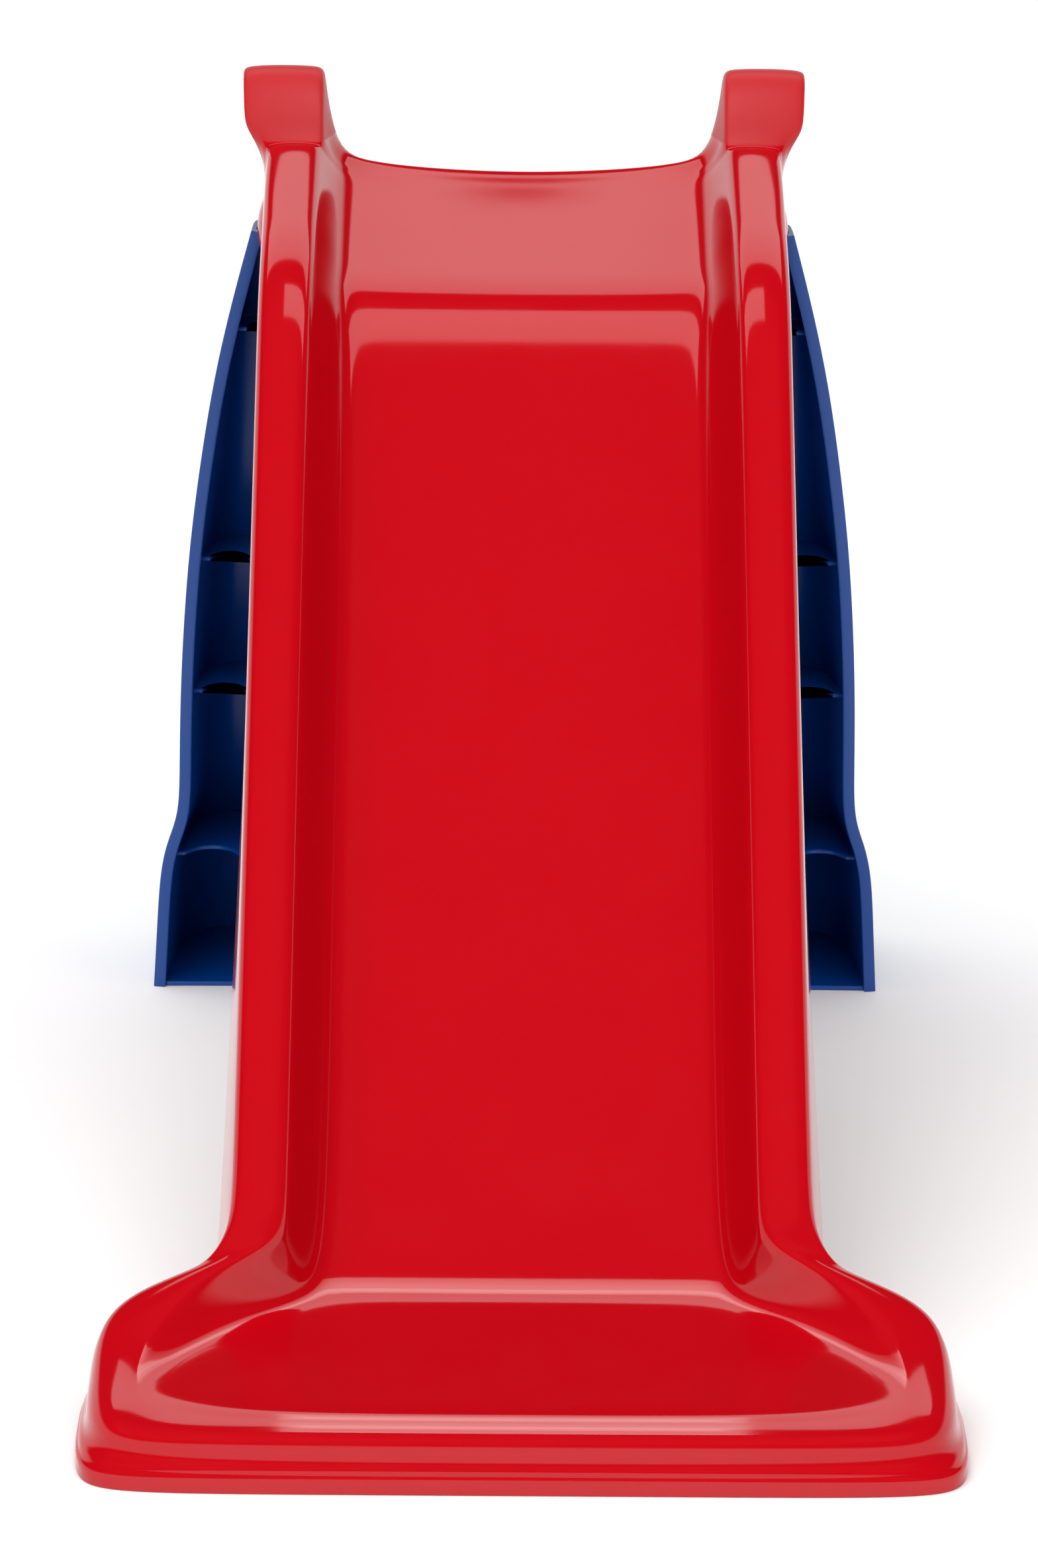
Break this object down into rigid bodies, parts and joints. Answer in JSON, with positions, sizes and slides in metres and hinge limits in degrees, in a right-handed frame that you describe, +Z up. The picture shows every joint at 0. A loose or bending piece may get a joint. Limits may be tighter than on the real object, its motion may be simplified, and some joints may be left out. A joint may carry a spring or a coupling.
{
  "type": "straight slide",
  "caption": "Folding toddler slide: one-piece moulded chute with hooked handle posts and a flared foot, on a hinged moulded ladder.",
  "frame": {"origin": "on the floor, at the middle of the whole slide's length and width", "axes": "+Z up, -Y towards the front lip where the child slides off, +X to the right seen from in front of the foot"},
  "size_m": [0.457, 0.965, 0.5962],
  "materials": {
    "chute_plastic": "glossy red injection-moulded polyethylene, satin on the handle posts",
    "ladder_plastic": "semi-gloss deep blue injection-moulded polyethylene",
    "pin_plastic": "natural white nylon",
    "bushing_plastic": "dark grey acetal",
    "spring_steel": "bright spring steel"
  },
  "bodies": {
    "chute_body": {"chute": "chute_plastic", "hinge_pin_left": "pin_plastic", "hinge_pin_right": "pin_plastic", "spring_washer_left": "spring_steel", "spring_washer_right": "spring_steel", "push_nut_left": "spring_steel", "push_nut_right": "spring_steel"},
    "ladder_body": {"ladder": "ladder_plastic", "bushing_left": "bushing_plastic", "bushing_right": "bushing_plastic"}
  },
  "joints": [
    {"name": "ladder_fold", "type": "hinge", "parent": "chute_body", "child": "ladder_body", "pos_m": [0, 0.2825, 0.5], "axis": [-1, 0, 0], "range_deg": [0, 56]}
  ]
}
